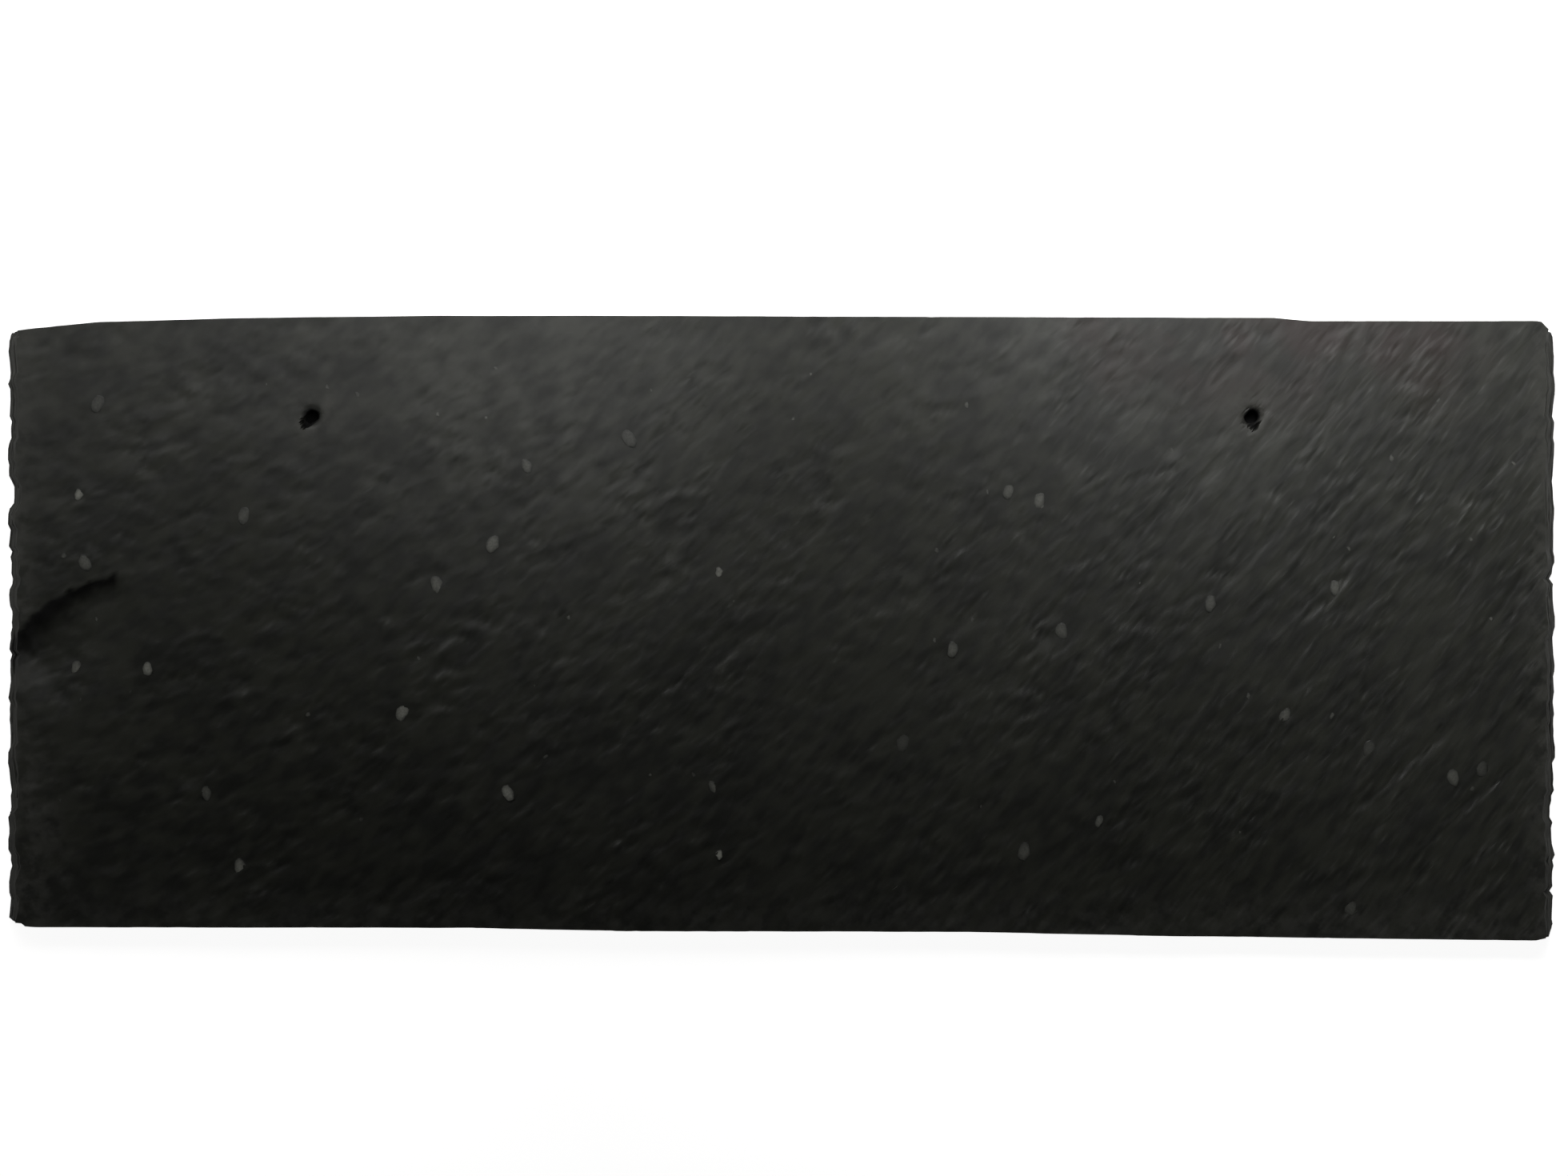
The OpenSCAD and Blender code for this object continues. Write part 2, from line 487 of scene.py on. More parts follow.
def flake_drop(x, y):
    """Depth that the long flake edges leave below the weather face, and the painted shade on their torn
    walls.
    """
    depth, painted_shade = np.zeros_like(x), np.zeros_like(x)
    for start, end, drops, walls, run_out, bow in FLAKE_EDGES:
        start, end = np.array(start) * MM, np.array(end) * MM
        length = float(np.hypot(*(end - start)))
        along = (end - start) / length
        s = ((x - start[0]) * along[0] + (y - start[1]) * along[1]) / length
        c = (x - start[0]) * along[1] - (y - start[1]) * along[0]
        c = c + 4 * bow * MM * np.clip(s * (1 - s), 0, 1)
        c = c + 0.5 * MM * np.sin(31 * s) + 0.3 * MM * np.sin(67 * s + 1)
        # The step fades at both ends of the line, and the lower side fades with it.
        spread = 0.6 * np.maximum(c, 0) / length
        fade = ease((s + 0.15) / (0.15 + spread)) * ease((1.09 - s) / (0.09 + spread))
        drop = MM * fade * np.interp(s, [0, 1], drops)
        wall = MM * np.interp(s, [0, 1], walls)
        # The wall is steepest at its lip, and the high side rises a little towards it.
        down = 1 - (1 - np.clip(c / wall, 0, 1)) ** 1.6
        out = 1 - ease((c - wall) / (run_out * MM))
        burr = 0.13 * ease(1 + c / wall) * (c < 0)
        depth = depth + drop * (down * out - burr)
        # The wall and its foot are painted dark, as shade.
        foot = 0.7 * (1 - ease(1.3 * c / wall - 0.25)) + 0.3 * (1 - ease(0.5 * c / wall))
        on_wall = ease(c / (0.7 * MM)) * foot
        painted_shade = np.maximum(painted_shade, on_wall * np.clip(drop / (0.5 * MM) - 0.3, 0, 1))
    return depth, painted_shade


def crater_drop(x, y, hole, rng_seed, notch_turn):
    """Depth, painted shade and dust of the break-out round a nail hole, a faint dish with a ragged
    throat. Its dust holds a painted highlight too.
    """
    mouth = 2 * hole["dims"]["r_mm"] * MM
    deep = THICKNESS - hole["dims"]["length_mm"] * MM
    dx, dy = x - hole["pos_m"][0], y - hole["pos_m"][1]
    distance, angle = np.hypot(dx, dy), np.arctan2(dy, dx)
    rng = np.random.default_rng(rng_seed)
    reach = 1.15 * mouth
    for turns in (1, 2, 3, 5):
        reach = reach + 0.5 * MM * rng.random() * np.cos(turns * (angle - 6 * rng.random()))
    radius = 0.5 * mouth
    share = 1 - np.clip((distance - radius) / (reach - radius), 0, 1)
    dish = deep * (0.1 * share + 0.9 * share**5)
    # The notch's floor falls away from the hole, and ends at a steep wall.
    towards = np.cos(angle - math.radians(notch_turn))
    notched = distance < radius * (1 + 0.85 * np.clip(towards, 0, 1) ** 5)
    notch = np.where(notched, deep * (0.35 + 0.65 * distance / radius), 0)
    # The side across from the notch is painted pale with the dust colour, as a painted highlight on its
    # break-out facets.
    dust = 0.6 * ease(1 - distance / (15 * MM))
    pale_chip_highlight = np.clip(-towards, 0, 1) ** 2 * ease(2.6 - distance / mouth)
    # The notch and the dish round the hole are painted dark, as shade.
    return np.maximum(dish, notch), np.where(notched, 1, share**4), np.maximum(dust, pale_chip_highlight)


def breakage_at(points, settings):
    """Depth of all breakage below the weather face, the painted shade on it, and how dusty it is, with a
    painted highlight by the nail holes.
    """
    x, y = points[:, 0], points[:, 1]
    depth, painted_shade = flake_drop(x, y)
    # The dust reaches farther in at the left end, near the tail, and a little lies on the tail.
    reach = 11 * MM + 12 * MM * ease((-x - y - 270 * MM) / (30 * MM))
    dust = np.clip(1.2 - (HIGH.x - np.abs(x)) / reach, 0, 1)
    dust = np.maximum(dust, 0.5 * ease(1.1 - (y - LOW.y) / (20 * MM)))
    # Round the nail holes the dust also carries a painted highlight.
    for n, (hole, turn) in enumerate(zip(NAIL_HOLES, NOTCH_TURNS)):
        crater = crater_drop(x, y, hole, settings.seed + n, turn)
        depth, painted_shade, dust = np.maximum([depth, painted_shade, dust], crater)
    return np.array([depth, painted_shade, dust])


def edge_rows(points, normals, insets, settings, rng):
    """Rings of points up the broken edge, two for each lamina, with their levels."""
    step = np.hypot(*(np.roll(points, -1, 0) - points).T)
    length = np.cumsum(step)
    dressed = ease(np.abs(normals[:, 0]) * 1.6 - 0.5)
    reach = settings.side_break + (settings.end_break - settings.side_break) * dressed
    # The knife's nibbles go through every lamina.
    nibbles = chip_noise(length, 3.6 * MM, rng)
    nibbles = settings.nibble * dressed * ease(2.2 * nibbles - 1.2)
    rings, levels = [], []
    for number, (low, high) in enumerate(zip(LAMINA_LEVELS, LAMINA_LEVELS[1:])):
        slow = smooth_noise(length, 15 * MM, rng)
        chips = chip_noise(length, 4.5 * MM, rng)
        broken = reach * (0.45 * slow + 0.55 * chips) ** 2
        if number == 0:
            broken = 0.4 * broken
        wave = 0.03 * (smooth_noise(length, 22 * MM, rng) - 0.5)
        for level, lift in ((low, 0.008), (high, -0.008)):
            outer = level in (0.0, 1.0)
            at = np.full(len(points), level) if outer else level + lift + wave
            inset = inset_at(insets, at * THICKNESS) + broken + nibbles
            rings.append(points - normals * inset[:, None])
            levels.append(at)
    return rings, levels


def slab_mesh(settings):
    """The slate's mesh before its relief, with the attributes that the relief reads."""
    rng = np.random.default_rng(settings.seed)
    outline = stations_round(outline_at(FELT_HEIGHTS[0]), settings.station)
    outline, normals = forward_only(outline, outward(outline), 0.3 * settings.station)
    insets = feel_edge(outline, normals)
    rings, levels = edge_rows(outline, normals, insets, settings, rng)

    # Each nail hole's own lip is ragged, because the punch narrows its mouth here and there.
    weather_loops, bed_loops, collars = [rings[-1]], [rings[0]], []
    for hole in NAIL_HOLES:
        centre, radius = hole["pos_m"][:2], hole["dims"]["r_mm"] * MM
        turn = 2 * math.pi * np.arange(BORE_POINTS) / BORE_POINTS
        lip = 0.93 + 0.1 * np.cos(2 * (turn - 0.6)) + 0.04 * np.cos(3 * turn + 6 * rng.random())
        weather_loops.append(bore_ring(centre, radius * (lip + 0.03 * rng.random(BORE_POINTS))))
        bed_loops.append(bore_ring(centre, radius * (1 + 0.03 * rng.random(BORE_POINTS))))
        for k in range(1, COLLARS + 1):
            collars.append(bore_ring(centre, radius + k * COLLAR_STEP, 0.5 * (k % 2)))

    # No point lies so near a rim or a collar that a sliver would form beside it.
    weather = grain_lattice(rings[-1], settings.weather_mesh, 0.9 * MM, rng)
    bed = grain_lattice(rings[0], settings.bed_mesh, 1.3 * MM, rng)
    for hole in NAIL_HOLES:
        past_collars = hole["dims"]["r_mm"] * MM + (COLLARS + 0.6) * COLLAR_STEP
        weather = weather[np.hypot(*(weather - hole["pos_m"][:2]).T) > past_collars]
        bed = bed[np.hypot(*(bed - hole["pos_m"][:2]).T) > 4 * MM]
    weather = fill(weather_loops, np.vstack([*collars, weather]), settings.weather_mesh)
    return join_slab(rings, levels, weather, fill(bed_loops, bed, settings.bed_mesh), settings)


def join_slab(rings, levels, weather, bed, settings):
    """Joins the faces, the laminated edge and the walls of the nail holes into one mesh."""
    (top, top_faces), (base, base_faces) = weather, bed
    count = len(rings[0])
    places = [top, base, *rings[1:-1]]
    heights = [np.ones(len(top)), np.zeros(len(base)), *levels[1:-1]]
    breakage = [breakage_at(p, settings) for p in places]
    # Nothing is broken out of the bed face.
    breakage[1][:2] = 0
    starts = np.cumsum([0] + [len(p) for p in places])
    chains = [[starts[n] + np.arange(count) for n in (*range(1, len(places)), 0)]]
    edge_quads = count * (len(places) - 1)

    for n in range(len(NAIL_HOLES)):
        ring = count + n * BORE_POINTS + np.arange(BORE_POINTS)
        upper, lower = top[ring], base[ring]
        wall = [starts[1] + ring]
        for level in BORE_LEVELS:
            wall.append(sum(len(p) for p in places) + np.arange(BORE_POINTS))
            places.append(lower + (upper - lower) * level)
            heights.append(np.full(BORE_POINTS, level))
            breakage.append(breakage_at(upper, settings))
        # A hole's wall faces inwards, so it runs downwards.
        chains.append([*wall, ring][::-1])
    quads = []
    for chain in chains:
        for a, b in zip(chain, chain[1:]):
            quads.append(np.column_stack([a, np.roll(a, -1), np.roll(b, -1), b]))

    flat = np.vstack(places)
    level = np.concatenate(heights)
    hollow, painted_shade, dust = np.hstack(breakage)
    co = np.column_stack([flat, level * THICKNESS])
    faces = [*top_faces.tolist(), *(base_faces[:, ::-1] + starts[1]).tolist()]
    edge_start = len(faces)
    faces += np.vstack(quads).tolist()
    mesh = bpy.data.meshes.new("riven_slate")
    mesh.from_pydata(co.tolist(), [], faces)
    broken = np.zeros(len(faces))
    broken[edge_start : edge_start + edge_quads] = 1.0
    points = {"level": level, "hollow": hollow, "painted_shade": painted_shade, "dust": dust}
    for name, values in (*points.items(), ("broken", broken)):
        layer = mesh.attributes.new(name, "FLOAT", "POINT" if name in points else "FACE")
        layer.data.foreach_set("value", values.astype(np.float32))
    grain = np.column_stack([flat[:, 0], grain_across(*flat.T), co[:, 2]])
    layer = mesh.attributes.new("grain", "FLOAT_VECTOR", "POINT")
    layer.data.foreach_set("vector", grain.astype(np.float32).ravel())
    return mesh


# Inputs of the relief, each named as its property is.
RELIEF_INPUTS = (
    "Swell height", "Swell size", "Grain height", "Grain width", "Grain length", "Lump height",
    "Lump size", "Streak height", "Streak length", "Flake step", "Flake width", "Mean drop",
)

# Short ridges and round lumps lie everywhere, and long streaks at the right. Each row has what
# the kind follows, the inputs of its length, width and height, and its strength at the left, at
# the right, at the tail and at the head, where all are lower.
RIDGES = (
    ("grain", "Grain length", "Grain width", "Grain height", 0.8, 0.55, 1.3, 0.35),
    ("place", "Lump size", "Lump size", "Lump height", 1.0, 0.9, 1.5, 0.75),
    ("grain", "Streak length", "Grain width", "Streak height", 0.0, 1.0, 1.2, 0.0),
)

# Number of flakes between the lowest and the highest.
FLAKE_LEVELS = 9


def new_group(name, lengths):
    """A Geometry Nodes tree with a geometry, named lengths, a seed and a material as inputs."""
    tree = bpy.data.node_groups.new(name, "GeometryNodeTree")
    inputs = [("Geometry", "Geometry"), *((length, "Float") for length in lengths)]
    for label, kind in (*inputs, ("Seed", "Int"), ("Material", "Material")):
        tree.interface.new_socket(label, in_out="INPUT", socket_type=f"NodeSocket{kind}")
    tree.interface.new_socket("Geometry", in_out="OUTPUT", socket_type="NodeSocketGeometry")
    return tree


def dress(add, geometry, given):
    """Ends a Geometry Nodes tree: the geometry is made real and takes its material."""
    solid = add("GeometryNodeRealizeInstances", [geometry])
    dressed = add("GeometryNodeSetMaterial", {"Geometry": solid, "Material": given["Material"]})
    add("NodeGroupOutput", [dressed])


def add_swells(add, given, place, seed):
    """The broad swells of a face, as a height."""
    per_swell = add(MATH, [1.0, given["Swell size"]], "DIVIDE")
    noise = {"Vector": place, "W": seed, "Scale": per_swell, "Detail": 2.0, "Roughness": 0.6}
    swell = add(NOISE, noise, noise_dimensions="4D")
    swell = add(MATH, [swell, 0.5], "SUBTRACT")
    for factor in (given["Swell height"], 4.0):
        swell = add(MATH, [swell, factor], "MULTIPLY")
    return swell


def add_ridges(add, given, sources, seed):
    """Short ridges, round lumps and long streaks, added up as a height."""
    x, y, _ = add("ShaderNodeSeparateXYZ", [sources["place"]]).outputs
    kinds = []
    for follows, length, width, height, left, right, tail, head in RIDGES:
        size = add("ShaderNodeCombineXYZ", [given[length], given[width], 1.0])
        at = add(VECTOR_MATH, [sources[follows], size], "DIVIDE")
        noise = {"Vector": at, "W": seed, "Scale": 1.0, "Detail": 2.0, "Roughness": 0.42}
        ridge = add(NOISE, {**noise, "Distortion": 0.5}, noise_dimensions="4D")
        ridge = add(MATH, [ridge, 0.5], "SUBTRACT")
        along = add(RANGE, [x, -0.2 * HIGH.x, 0.6 * HIGH.x, left, right])
        across = add(RANGE, [y, LOW.y, 0.9 * HIGH.y, tail, head])
        for factor in (given[height], along, across):
            ridge = add(MATH, [ridge, factor], "MULTIPLY")
        kinds.append(ridge)
    ridges = kinds[0]
    for kind in kinds[1:]:
        ridges = add(MATH, [ridges, kind], "ADD")
    # Some patches split more smoothly than others.
    noise = {"Vector": sources["grain"], "W": seed, "Scale": 1 / (16 * MM), "Detail": 1.0}
    patch = add(NOISE, noise, noise_dimensions="4D")
    patch = add(RANGE, [patch, 0.35, 0.65, 0.35, 1.65])
    return add(MATH, [ridges, patch], "MULTIPLY")


def add_flakes(add, given, sources, seed):
    """Thin flakes, each with a short steep step down to the next, as a height."""
    size = add("ShaderNodeCombineXYZ", [given["Swell size"], given["Flake width"], 1.0])
    at = add(VECTOR_MATH, [sources["grain"], size], "DIVIDE")
    noise = {"Vector": at, "W": seed, "Scale": 1.0, "Detail": 2.0, "Roughness": 0.55}
    flakes = add(NOISE, noise, noise_dimensions="4D")
    flakes = add(MATH, [flakes, FLAKE_LEVELS], "MULTIPLY")
    whole = add(MATH, [flakes], "FLOOR")
    part = add(MATH, [flakes], "FRACT")
    part = add(RANGE, [part, 0.38, 0.62, 0.0, 1.0], interpolation_type="SMOOTHSTEP")
    flakes = add(MATH, [whole, part], "ADD")
    flakes = add(MATH, [flakes, FLAKE_LEVELS / 2], "SUBTRACT")
    y = add("ShaderNodeSeparateXYZ", [sources["place"]]).outputs[1]
    fade = add(RANGE, [y, 0.0, 0.6 * HIGH.y, 1.0, 0.35])
    for factor in (given["Flake step"], fade):
        flakes = add(MATH, [flakes, factor], "MULTIPLY")
    return flakes


def relief_tree():
    """Geometry Nodes that rive both faces: broad swells, ridges along the grain and thin flakes."""
    tree = new_group("riven_relief", RELIEF_INPUTS)
    add = partial(add_node, tree)
    given = add("NodeGroupInput").outputs
    level, hollow, grain = (
        add("GeometryNodeInputNamedAttribute", [name], data_type=kind)
        for name, kind in (("level", "FLOAT"), ("hollow", "FLOAT"), ("grain", "FLOAT_VECTOR"))
    )
    sources = {"grain": grain, "place": add("GeometryNodeInputPosition")}

    # Each face has its own seed, so that the bed face isn't a copy of the weather face.
    drops = []
    for face_seed in (0, 40):
        seed = add(MATH, [given["Seed"], face_seed], "ADD")
        drop = add_swells(add, given, sources["place"], seed)
        ridges = add_ridges(add, given, sources, seed)
        flakes = add_flakes(add, given, sources, seed)
        for more in (ridges, flakes, given["Mean drop"]):
            drop = add(MATH, [drop, more], "ADD")
        drops.append(drop)

    # The weather face sinks and the bed face rises, and the edge between them shares both.
    down = add(MATH, [drops[0], hollow], "ADD")
    down = add(MATH, [down, 0.0], "MAXIMUM")
    down = add(MATH, [down, level], "MULTIPLY")
    under = add(MATH, [1.0, level], "SUBTRACT")
    up = add(MATH, [drops[1], 0.0], "MAXIMUM")
    up = add(MATH, [under, up], "MULTIPLY")
    lift = add(MATH, [up, down], "SUBTRACT")
    offset = add("ShaderNodeCombineXYZ", [0.0, 0.0, lift])
    moved = add("GeometryNodeSetPosition", {"Geometry": given["Geometry"], "Offset": offset})
    dress(add, moved, given)
    return tree


def run_tree(piece, tree, values):
    """Runs a Geometry Nodes tree on a piece with these named inputs, and keeps a plain mesh."""
    modifier = piece.modifiers.new(tree.name, "NODES")
    modifier.node_group = tree
    for item in tree.interface.items_tree:
        if item.in_out == "INPUT" and item.name in values:
            modifier[item.identifier] = values[item.name]
    bpy.context.view_layer.update()
    evaluated = piece.evaluated_get(bpy.context.evaluated_depsgraph_get())
    mesh = bpy.data.meshes.new_from_object(evaluated)
    piece.modifiers.clear()
    old = piece.data
    piece.data = mesh
    bpy.data.meshes.remove(old)
    mesh.name = piece.name
    return mesh


def fit_to_cad(mesh):
    """Stretches a mesh by the hair's breadth that brings its extremes to the CAD slate's box."""
    co = np.zeros(3 * len(mesh.vertices), np.float32)
    mesh.vertices.foreach_get("co", co)
    co = co.reshape(-1, 3).astype(float)
    low, high = co.min(0), co.max(0)
    co = np.array(LOW) + (co - low) * (np.array(HIGH) - np.array(LOW)) / (high - low)
    mesh.vertices.foreach_set("co", co.astype(np.float32).ravel())
    mesh.update()


def bare_tree(owner):
    """The emptied node tree of a new material or world."""
    owner.use_nodes = True
    owner.node_tree.nodes.clear()
    return owner.node_tree


# Patterns of the slate's finish that run in no direction: size, detail and roughness of the
# clouds where one lamina gives way to another, the iron's patches, the specks of dust and the grit.
ROUND_PATTERNS = (
    (24 * MM, 5.0, 0.62),
    (18 * MM, 3.0, 0.5),
    (5 * MM, 4.0, 0.6),
    (0.5 * MM, 2.0, 0.5),
)


def riven_slate_material(colours):
    """Natural slate, split by hand along its cleavage.

    The face is matt with a silky bloom where fine mica lies flat. Low ridges and scratches
    follow the grain. Broken edges show their laminae as thin bands, and carry pale dust.
    """
    material = bpy.data.materials.new("riven_slate")
    add = partial(add_node, bare_tree(material))
    grain = add("ShaderNodeAttribute", attribute_name="grain").outputs["Vector"]
    broken, painted_shade, dust = (
        add("ShaderNodeAttribute", attribute_name=name).outputs["Fac"]
        for name in ("broken", "painted_shade", "dust")
    )
    place = add("ShaderNodeTexCoord").outputs["Object"]
    x, y, _ = add("ShaderNodeSeparateXYZ", [place]).outputs
    clouds, patches, grit, sand = (
        add(NOISE, {"Vector": place, "Scale": 1 / size, "Detail": detail, "Roughness": rough})
        for size, detail, rough in ROUND_PATTERNS
    )

    # Streaks 6 mm wide and 8 mm long, along the grain. They are fainter towards the head.
    per_streak = (1 / (8 * MM), 1 / (6 * MM), 0.0)
    streak_at = add(VECTOR_MATH, [grain, per_streak], "MULTIPLY")
    streaks = {"Vector": streak_at, "Scale": 1.0, "Detail": 1.5, "Roughness": 0.5, "Distortion": 0.2}
    streaks = add(NOISE, streaks)
    shown = add(RANGE, [y, LOW.y, HIGH.y, 1.0, 0.5])
    tone = add(MATH, [streaks, 0.5], "SUBTRACT")
    tone = add(MATH, [tone, shown], "MULTIPLY")
    tone = add(MATH, [tone, 2.4, -0.4], "MULTIPLY_ADD")
    tone = add(MATH, [clouds, 1.8, tone], "MULTIPLY_ADD")
    tone = add(RANGE, [tone, 0.2, 0.8, 0.0, 1.0])

    # A faint red bloom of iron shows in patches near the right end of the head edge.
    away = add(MATH, [x, BLOOM_AT.x], "SUBTRACT")
    away = add(MATH, [away], "ABSOLUTE")
    bloom = add(RANGE, [away, 0.7 * BLOOM_REACH, BLOOM_REACH, 1.0, 0.0])
    above = add(RANGE, [y, BLOOM_AT.y, 0.9 * HIGH.y, 0.0, 1.0])
    patchy = add(RANGE, [patches, 0.4, 0.6, 0.1, 1.0])
    for factor in (above, patchy):
        bloom = add(MATH, [bloom, factor], "MULTIPLY")

    # Dust lies near the dressed ends, round the nail holes and on every broken edge, where
    # laminae about half a millimetre thick show as bands.
    speckle = add(RANGE, [grit, 0.42, 0.6, 0.15, 1.0])
    # Round the nail holes this dust mask also holds a painted highlight.
    dusty = add(MATH, [dust, speckle], "MULTIPLY")
    per_band = (1 / (5 * MM), 1 / (5 * MM), 1 / (0.5 * MM))
    band_at = add(VECTOR_MATH, [place, per_band], "MULTIPLY")
    bands = add(NOISE, {"Vector": band_at, "Scale": 1.0, "Detail": 2.0})
    banded = add(RANGE, [bands, 0.35, 0.65, 0.15, 0.9])
    banded = add(MATH, [banded, broken], "MULTIPLY")
    dusty = add(MATH, [dusty, banded], "MAXIMUM")

    # Torn walls are painted dark as shade, over everything else.
    colour = colours.body
    tints = ((tone, colours.pale), (bloom, colours.bloom), (dusty, colours.dust), (painted_shade, colours.painted_shade))
    for share, tint in tints:
        colour = add("ShaderNodeMix", {0: share, 6: colour, 7: tint}, data_type="RGBA").outputs[2]

    # The paler laminae are silkier. Dust is rougher, and the painted shade is a little smoother.
    rough = add(RANGE, [tone, 0.0, 1.0, 0.51, 0.42])
    for share, change in ((dusty, 0.2), (painted_shade, -0.05)):
        rough = add(MATH, [share, change, rough], "MULTIPLY_ADD")
    for (middle_x, middle_y), reach, change in SMOOTH_PATCHES:
        middle = Vector((middle_x * MM, middle_y * MM, HIGH.z))
        away = add(VECTOR_MATH, [place, middle], "DISTANCE").outputs["Value"]
        ends = [away, 0.2 * reach * MM, reach * MM, change, 0.0]
        patch = add(RANGE, ends, interpolation_type="SMOOTHSTEP")
        rough = add(MATH, [rough, patch], "ADD")

    # Relief too fine for the mesh: grain lines 1.5 mm wide, and grit of half a millimetre.
    per_line = (1 / (2.8 * MM), 1 / (1.5 * MM), 1 / (1.5 * MM))
    fine_at = add(VECTOR_MATH, [grain, per_line], "MULTIPLY")
    fine = add(NOISE, {"Vector": fine_at, "Scale": 1.0, "Detail": 3.0})
    fine = add(MATH, [fine, shown], "MULTIPLY")
    height = add(MATH, [sand, 0.35, fine], "MULTIPLY_ADD")
    bump = add("ShaderNodeBump", {"Strength": 1.0, "Distance": 0.032 * MM, "Height": height})
    surface = {"Base Color": colour, "Roughness": rough, "Normal": bump, "IOR": 1.5}
    add("ShaderNodeOutputMaterial", {"Surface": add("ShaderNodeBsdfPrincipled", surface)})
    return material


def fleck_material(colours):
    """Pale mineral grains, such as quartz and mica, bedded in the slate and split with it.

    They are smoother than the slate. Each grain has its own brightness and is clearest at its
    middle.
    """
    material = bpy.data.materials.new("bedded_quartz")
    add = partial(add_node, bare_tree(material))
    place = add("ShaderNodeTexCoord").outputs["Object"]
    bright, core = (
        add("ShaderNodeAttribute", attribute_name=name).outputs["Fac"] for name in ("brightness", "core")
    )
    # Cracks and dirt in a grain, about 0.7 mm across.
    dirt = add(NOISE, {"Vector": place, "Scale": 1 / (0.7 * MM), "Detail": 3.0})
    clean = add(RANGE, [dirt, 0.3, 0.6, 0.6, 1.0])
    core = add(RANGE, [core, 0.2, 0.95, 0.0, 1.5])
    share = add(MATH, [clean, bright], "MULTIPLY")
    share = add(MATH, [share, core], "MULTIPLY")
    mixed = {0: share, 6: colours.body, 7: colours.fleck}
    colour = add("ShaderNodeMix", mixed, data_type="RGBA").outputs[2]
    rough = add(RANGE, [dirt, 0.3, 0.7, 0.6, 0.4])
    surface = {"Base Color": colour, "Roughness": rough, "IOR": 1.54}
    add("ShaderNodeOutputMaterial", {"Surface": add("ShaderNodeBsdfPrincipled", surface)})
    return material


FLECK_INPUTS = ("Fleck width", "Fleck length", "Fleck height")


def fleck_tree():
    """Geometry Nodes that bed a faceted grain in the slate at each point."""
    tree = new_group("bedded_flecks", FLECK_INPUTS)
    add = partial(add_node, tree)
    given = add("NodeGroupInput").outputs

    grain = add("GeometryNodeMeshIcoSphere", {"Radius": 0.5, "Subdivisions": 2})
    # How far up its own dome each point of a grain is.
    rise = add("ShaderNodeSeparateXYZ", [add("GeometryNodeInputPosition")])
    core = add(MATH, [rise.outputs[2], 2.0], "MULTIPLY")
    stored = {"Geometry": grain, "Name": "core", "Value": core}
    grain = add("GeometryNodeStoreNamedAttribute", stored, data_type="FLOAT", domain="POINT")

    size = add("GeometryNodeInputNamedAttribute", ["size"], data_type="FLOAT")
    ends = {"Min": (0.0, 0.0, -0.5), "Max": (0.0, 0.0, 0.5), "Seed": given["Seed"]}
    turn = add("FunctionNodeRandomValue", ends, data_type="FLOAT_VECTOR")
    extent = add("ShaderNodeCombineXYZ", [given[side] for side in FLECK_INPUTS])
    extent = add(VECTOR_MATH, [extent, size], "MULTIPLY")
    points = add("GeometryNodeMeshToPoints", [given["Geometry"]])
    bedded = {"Points": points, "Instance": grain, "Rotation": turn, "Scale": extent}
    placed = add("GeometryNodeInstanceOnPoints", bedded)

    # Each grain is knocked out of round by noise of about its own size.
    solid = add("GeometryNodeRealizeInstances", [placed])
    knock = add(NOISE, {"Scale": 1 / (1.5 * MM), "Detail": 1.0}).outputs[1]
    knock = add(VECTOR_MATH, [knock, (0.5, 0.5, 0.5)], "SUBTRACT")
    knock = add(VECTOR_MATH, [knock, (1.6 * MM, 1.6 * MM, 0.0)], "MULTIPLY")
    dress(add, add("GeometryNodeSetPosition", {"Geometry": solid, "Offset": knock}), given)
    return tree


def new_piece(name, mesh):
    """An object for a mesh, at the origin and in the scene."""
    piece = bpy.data.objects.new(name, mesh)
    bpy.context.scene.collection.objects.link(piece)
    return piece


class SLATE_OT_riven_slate(bpy.types.Operator):
    """Builds the riven slate on the CAD slate's outline, holes and edges"""

    bl_idname = "slate.riven_slate"
    bl_label = "Riven slate"
    bl_options = {"REGISTER", "UNDO"}

    def execute(self, context):
        sizes, colours = context.scene.slate_sizes, context.scene.slate_colours
        piece = new_piece("riven_slate", slab_mesh(sizes))
        values = {name: getattr(sizes, name.lower().replace(" ", "_")) for name in RELIEF_INPUTS}
        values["Seed"] = sizes.seed
        values["Material"] = riven_slate_material(colours)
        mesh = run_tree(piece, relief_tree(), values)
        fit_to_cad(mesh)
        mesh.shade_smooth()
        mesh.set_sharp_from_angle(angle=math.radians(38))
        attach(piece, BODY)
        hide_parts(NODE)
        return {"FINISHED"}


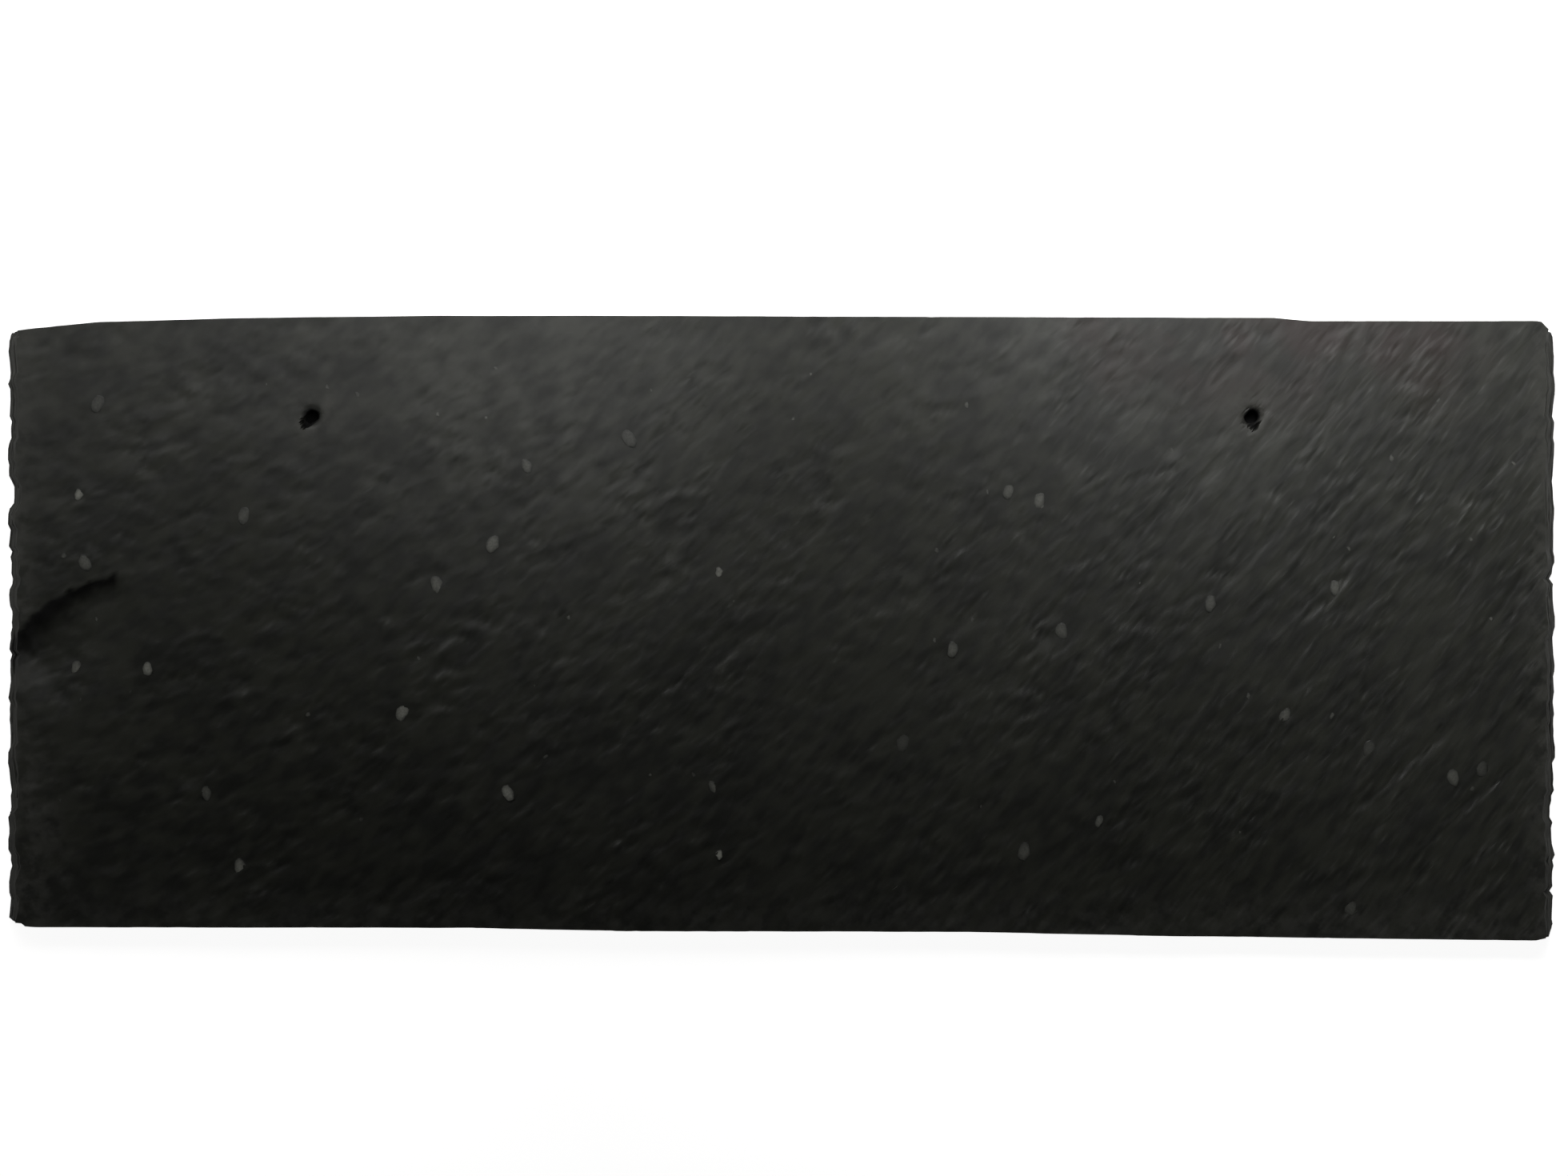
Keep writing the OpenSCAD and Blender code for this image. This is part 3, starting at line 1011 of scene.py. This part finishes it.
class SLATE_OT_mineral_flecks(bpy.types.Operator):
    """Beds pale mineral flecks in the weather face"""

    bl_idname = "slate.mineral_flecks"
    bl_label = "Mineral flecks"
    bl_options = {"REGISTER", "UNDO"}

    def execute(self, context):
        sizes, colours = context.scene.slate_sizes, context.scene.slate_colours
        slate = bpy.data.objects["riven_slate"].data
        surface = BVHTree.FromPolygons(
            [v.co for v in slate.vertices], [tuple(p.vertices) for p in slate.polygons]
        )
        rows = [(x * MM, y * MM, size, bright) for x, y, size, bright in FLECKS]
        rng = np.random.default_rng(sizes.seed)
        # The tiny flecks are dim, and keep clear of the edges.
        for _ in range(sizes.small_flecks):
            x = rng.uniform(0.95 * LOW.x, 0.95 * HIGH.x)
            y = rng.uniform(0.9 * LOW.y, 0.9 * HIGH.y)
            rows.append((x, y, rng.uniform(0.3, 0.6), rng.uniform(0.08, 0.2)))
        down = Vector((0, 0, -1))
        places = [surface.ray_cast(Vector((x, y, 2 * HIGH.z)), down)[0] for x, y, _, _ in rows]
        mesh = bpy.data.meshes.new("mineral_flecks")
        mesh.from_pydata([tuple(p) for p in places], [], [])
        for name, column in (("size", 2), ("brightness", 3)):
            layer = mesh.attributes.new(name, "FLOAT", "POINT")
            layer.data.foreach_set("value", [row[column] for row in rows])
        piece = new_piece("mineral_flecks", mesh)
        values = {"Seed": sizes.seed, "Material": fleck_material(colours)}
        values.update(zip(FLECK_INPUTS, sizes.fleck))
        run_tree(piece, fleck_tree(), values)
        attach(piece, BODY)
        return {"FINISHED"}


def pale_floor_material(glow):
    """Matt white card. It looks evenly bright, and throws little light on the slate."""
    material = bpy.data.materials.new("white_card")
    add = partial(add_node, bare_tree(material))
    seen = add("ShaderNodeLightPath").outputs["Is Camera Ray"]
    seen = add(MATH, [seen, glow], "MULTIPLY")
    card = add("ShaderNodeBsdfDiffuse", {"Color": linear("#e9e9e7")})
    even = add("ShaderNodeEmission", {"Color": (1, 1, 1, 1), "Strength": seen})
    add("ShaderNodeOutputMaterial", {"Surface": add("ShaderNodeAddShader", [card, even])})
    return material


def shade_sheet_material():
    """Painted shade: a black sheet under the slate, which swallows the light there and shows black
    through the nail holes.
    """
    material = bpy.data.materials.new("painted_shade_sheet")
    add = partial(add_node, bare_tree(material))
    felt = add("ShaderNodeBsdfPrincipled", {"Base Color": linear("#0b0b0b"), "Roughness": 1.0})
    add("ShaderNodeOutputMaterial", {"Surface": felt})
    return material


def flat_sheet(name, half_x, half_y, height, material):
    """A level rectangle of the stage."""
    mesh = bpy.data.meshes.new(name)
    corners = [(-half_x, -half_y), (half_x, -half_y), (half_x, half_y), (-half_x, half_y)]
    mesh.from_pydata([(x, y, height) for x, y in corners], [], [(0, 1, 2, 3)])
    mesh.materials.append(material)
    sheet = new_piece(name, mesh)
    return sheet


def softbox(name, place, target, size, power):
    """A rectangular softbox that the camera doesn't see."""
    lamp = bpy.data.lights.new(name, "AREA")
    lamp.shape = "RECTANGLE"
    lamp.size, lamp.size_y = size
    lamp.energy = power
    holder = bpy.data.objects.new(name, lamp)
    bpy.context.scene.collection.objects.link(holder)
    holder.location = place
    holder.rotation_euler = (Vector(target) - Vector(place)).to_track_quat("-Z", "Y").to_euler()
    holder.visible_camera = False
    return holder


def studio_world(wall_glow):
    """Pale studio walls under a dark ceiling. The eye sees only their plain white backdrop."""
    world = bpy.data.worlds.new("studio")
    add = partial(add_node, bare_tree(world))
    direction = add("ShaderNodeTexCoord").outputs["Generated"]
    height = add("ShaderNodeSeparateXYZ", [direction]).outputs[2]
    # The walls fade into the ceiling at 25 degrees above the floor.
    ends = [height, 0.0, 0.42, wall_glow, 0.0]
    fade = add(RANGE, ends, interpolation_type="SMOOTHSTEP")
    walls, backdrop = (
        add("ShaderNodeBackground", {"Color": (1, 1, 1, 1), "Strength": glow}) for glow in (fade, 1.0)
    )
    seen = add("ShaderNodeLightPath").outputs["Is Camera Ray"]
    mixed = add("ShaderNodeMixShader", [seen, walls, backdrop])
    add("ShaderNodeOutputWorld", {"Surface": mixed})
    return world


class SLATE_OT_stage(bpy.types.Operator):
    """Lays the pale floor, hangs the soft lights and sets up the camera"""

    bl_idname = "slate.stage"
    bl_label = "Stage"
    bl_options = {"REGISTER", "UNDO"}

    def execute(self, context):
        sizes = context.scene.slate_stage
        half = sizes.floor_size / 2
        flat_sheet("floor", half, half, -0.6 * MM, pale_floor_material(sizes.floor_glow))
        # A black sheet under the slate paints the shade that shows through the nail holes.
        inset = 9 * MM
        flat_sheet("under_slate_shade", HIGH.x - inset, HIGH.y - inset, -0.1 * MM, shade_sheet_material())
        # Both softboxes point past the head, so that only the edge of their light rakes the slate.
        key = {"place": (0.071, 0.433, 0.336), "target": (0.3, 0.572, 0), "size": (0.608, 0.366)}
        second = {"place": (-0.162, 0.472, 0.285), "target": (-0.3, 0.527, 0), "size": (0.711, 0.596)}
        softbox("key_softbox", **key, power=sizes.key_power)
        softbox("second_softbox", **second, power=sizes.second_power)
        context.scene.world = studio_world(sizes.wall_glow)
        camera = bpy.data.cameras.new("camera")
        camera.lens = sizes.lens
        camera.sensor_width = 36
        camera.clip_start = 0.01
        holder = bpy.data.objects.new("camera", camera)
        context.scene.collection.objects.link(holder)
        # The slate sits a little below the middle of the frame.
        holder.location = (0.8 * MM, 12.9 * MM, HIGH.z + sizes.camera_height)
        context.scene.camera = holder
        context.scene.view_settings.view_transform = "Standard"
        return {"FINISHED"}


class SLATE_PT_panel(bpy.types.Panel):
    """Lists the slate's pieces and the stage"""

    bl_idname = "SLATE_PT_panel"
    bl_label = "Slate roof tile"
    bl_space_type = "VIEW_3D"
    bl_region_type = "UI"
    bl_category = "Slate"

    def draw(self, context):
        scene = context.scene
        groups = (
            (scene.slate_sizes, SLATE_OT_riven_slate),
            (scene.slate_colours, SLATE_OT_mineral_flecks),
            (scene.slate_stage, SLATE_OT_stage),
        )
        for group, operator in groups:
            box = self.layout.box()
            for name in group.__annotations__:
                box.prop(group, name)
            box.operator(operator.bl_idname)


CLASSES = (
    SlateSizes,
    SlateColours,
    StageSizes,
    SLATE_OT_riven_slate,
    SLATE_OT_mineral_flecks,
    SLATE_OT_stage,
    SLATE_PT_panel,
)
SETTINGS = (
    ("slate_sizes", SlateSizes),
    ("slate_colours", SlateColours),
    ("slate_stage", StageSizes),
)


def register():
    for cls in CLASSES:
        bpy.utils.register_class(cls)
    for name, group in SETTINGS:
        setattr(bpy.types.Scene, name, bpy.props.PointerProperty(type=group))


def unregister():
    for name, _ in SETTINGS:
        delattr(bpy.types.Scene, name)
    for cls in reversed(CLASSES):
        bpy.utils.unregister_class(cls)


def main():
    register()
    bpy.ops.slate.riven_slate()
    bpy.ops.slate.mineral_flecks()
    bpy.ops.slate.stage()


if __name__ == "__main__":
    main()
